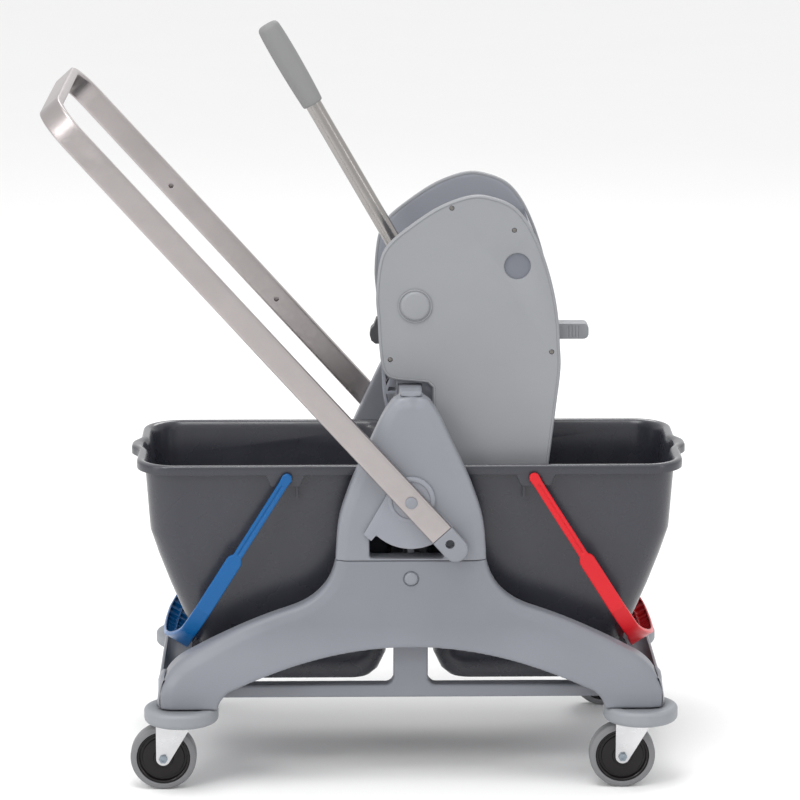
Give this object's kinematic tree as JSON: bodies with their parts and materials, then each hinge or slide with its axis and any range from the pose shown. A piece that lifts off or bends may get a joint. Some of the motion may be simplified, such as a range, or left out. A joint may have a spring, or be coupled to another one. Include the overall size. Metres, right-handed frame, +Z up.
{
  "type": "mopping trolley",
  "caption": "Mopping trolley: buckets set end to end on a caster frame, an upright press wringer worked by a lever, and a folding push handle.",
  "frame": {"origin": "on the floor, under the middle of the whole trolley's bounding box", "axes": "+Z up, +X along the trolley towards the wringer bucket, +Y away from the front side, so the push handle leans to -X"},
  "size_m": [0.7796, 0.435, 0.9135],
  "materials": {
    "frame_plastic": "satin moulded",
    "ring_plastic": "satin moulded",
    "cover_plastic": "fine-grained moulded",
    "inner_plastic": "satin moulded",
    "bucket_plastic": "satin moulded",
    "blue_plastic": "glossy moulded",
    "red_plastic": "glossy moulded",
    "anodised_aluminium": "anodised, champagne grey",
    "bright_steel": "brushed",
    "zinc_plate": "bright zinc",
    "grip_rubber": "matt",
    "tyre_rubber": "non-marking grey",
    "hub_plastic": "satin black"
  },
  "bodies": {
    "frame": {"side_frame_near": "frame_plastic", "side_frame_far": "frame_plastic", "frame_plug_near": "frame_plastic", "frame_plug_far": "frame_plastic", "end_beam_left": "frame_plastic", "end_beam_right": "frame_plastic", "bucket_seat_left": "frame_plastic", "bucket_seat_right": "frame_plastic", "centre_saddle": "inner_plastic", "tower_near": "frame_plastic", "tower_far": "frame_plastic", "bumper_ring_near_left": "ring_plastic", "bumper_ring_far_left": "ring_plastic", "bumper_ring_near_right": "ring_plastic", "bumper_ring_far_right": "ring_plastic"},
    "handle": {"pull_handle": "anodised_aluminium", "handle_cap_near": "frame_plastic", "handle_cap_far": "frame_plastic", "stop_sector_near": "inner_plastic", "stop_sector_far": "inner_plastic", "handle_pin_near": "frame_plastic", "handle_pin_far": "frame_plastic"},
    "left_bucket": {"bucket_left": "bucket_plastic"},
    "right_bucket": {"bucket_right": "bucket_plastic"},
    "left_bail": {"bail_left": "blue_plastic"},
    "right_bail": {"bail_right": "red_plastic"},
    "wringer": {"wringer_casing": "inner_plastic", "wringer_cover_near": "cover_plastic", "wringer_cover_far": "cover_plastic", "drain_plate": "inner_plastic", "guide_rod_near": "bright_steel", "guide_rod_far": "bright_steel", "bearing_cap_near": "cover_plastic", "bearing_cap_far": "cover_plastic", "return_spring": "bright_steel"},
    "press": {"press_plate": "inner_plastic", "press_rack": "inner_plastic"},
    "lever": {"lever_hub": "inner_plastic", "lever_shaft": "bright_steel", "lever_tube": "bright_steel", "lever_grip": "grip_rubber"},
    "latch": {"release_latch": "cover_plastic"},
    "caster_near_left": {"caster_fork_near_left": "zinc_plate", "caster_axle_near_left": "bright_steel"},
    "wheel_near_left": {"caster_tyre_near_left": "tyre_rubber", "caster_hub_near_left": "hub_plastic"},
    "caster_far_left": {"caster_fork_far_left": "zinc_plate", "caster_axle_far_left": "bright_steel"},
    "wheel_far_left": {"caster_tyre_far_left": "tyre_rubber", "caster_hub_far_left": "hub_plastic"},
    "caster_near_right": {"caster_fork_near_right": "zinc_plate", "caster_axle_near_right": "bright_steel"},
    "wheel_near_right": {"caster_tyre_near_right": "tyre_rubber", "caster_hub_near_right": "hub_plastic"},
    "caster_far_right": {"caster_fork_far_right": "zinc_plate", "caster_axle_far_right": "bright_steel"},
    "wheel_far_right": {"caster_tyre_far_right": "tyre_rubber", "caster_hub_far_right": "hub_plastic"}
  },
  "joints": [
    {"name": "handle_fold", "type": "hinge", "parent": "frame", "child": "handle", "pos_m": [0.04776, 0, 0.356], "axis": [0, 1, 0], "range_deg": [0, 84.2]},
    {"name": "left_bucket_lift", "type": "slide", "parent": "frame", "child": "left_bucket", "axis": [-0.6, 0, 0.8], "range_m": [0, 0.12]},
    {"name": "right_bucket_lift", "type": "slide", "parent": "frame", "child": "right_bucket", "axis": [0, 0, 1], "range_m": [0, 0.055]},
    {"name": "left_bail_swing", "type": "hinge", "parent": "left_bucket", "child": "left_bail", "pos_m": [-0.10324, 0, 0.372], "axis": [0, 1, 0], "range_deg": [0, 147.9]},
    {"name": "right_bail_swing", "type": "hinge", "parent": "right_bucket", "child": "right_bail", "pos_m": [0.19876, 0, 0.372], "axis": [0, -1, 0], "range_deg": [0, 135]},
    {"name": "wringer_lift", "type": "slide", "parent": "frame", "child": "wringer", "axis": [0, 0, 1], "range_m": [0, 0.25]},
    {"name": "lever_pull", "type": "hinge", "parent": "wringer", "child": "lever", "pos_m": [0.05376, 0, 0.579], "axis": [0, -1, 0], "range_deg": [0, 70], "stiffness_Nm_per_rad": 1.2, "springref_deg": -57.3},
    {"name": "press_slide", "type": "slide", "parent": "wringer", "child": "press", "axis": [1, 0, 0], "range_m": [0, 0.0445]},
    {"name": "latch_press", "type": "slide", "parent": "wringer", "child": "latch", "axis": [-1, 0, 0], "range_m": [0, 0.008], "stiffness_N_per_m": 150, "springref_m": -0.004},
    {"name": "swivel_near_left", "type": "hinge", "parent": "frame", "child": "caster_near_left", "pos_m": [-0.23024, -0.1725, 0.083], "axis": [0, 0, 1], "continuous": true},
    {"name": "roll_near_left", "type": "hinge", "parent": "caster_near_left", "child": "wheel_near_left", "pos_m": [-0.25224, -0.1725, 0.04], "axis": [0, 1, 0], "continuous": true},
    {"name": "swivel_far_left", "type": "hinge", "parent": "frame", "child": "caster_far_left", "pos_m": [-0.23024, 0.1725, 0.083], "axis": [0, 0, 1], "continuous": true},
    {"name": "roll_far_left", "type": "hinge", "parent": "caster_far_left", "child": "wheel_far_left", "pos_m": [-0.23024, 0.1505, 0.04], "axis": [-1, 0, 0], "continuous": true},
    {"name": "swivel_near_right", "type": "hinge", "parent": "frame", "child": "caster_near_right", "pos_m": [0.32576, -0.1725, 0.083], "axis": [0, 0, 1], "continuous": true},
    {"name": "roll_near_right", "type": "hinge", "parent": "caster_near_right", "child": "wheel_near_right", "pos_m": [0.30376, -0.1725, 0.04], "axis": [0, 1, 0], "continuous": true},
    {"name": "swivel_far_right", "type": "hinge", "parent": "frame", "child": "caster_far_right", "pos_m": [0.32576, 0.1725, 0.083], "axis": [0, 0, 1], "continuous": true},
    {"name": "roll_far_right", "type": "hinge", "parent": "caster_far_right", "child": "wheel_far_right", "pos_m": [0.30376, 0.1725, 0.04], "axis": [0, 1, 0], "continuous": true}
  ],
  "couplings": [
    {"joint": "press_slide", "follows": "lever_pull", "m_per_rad": 0.036}
  ]
}
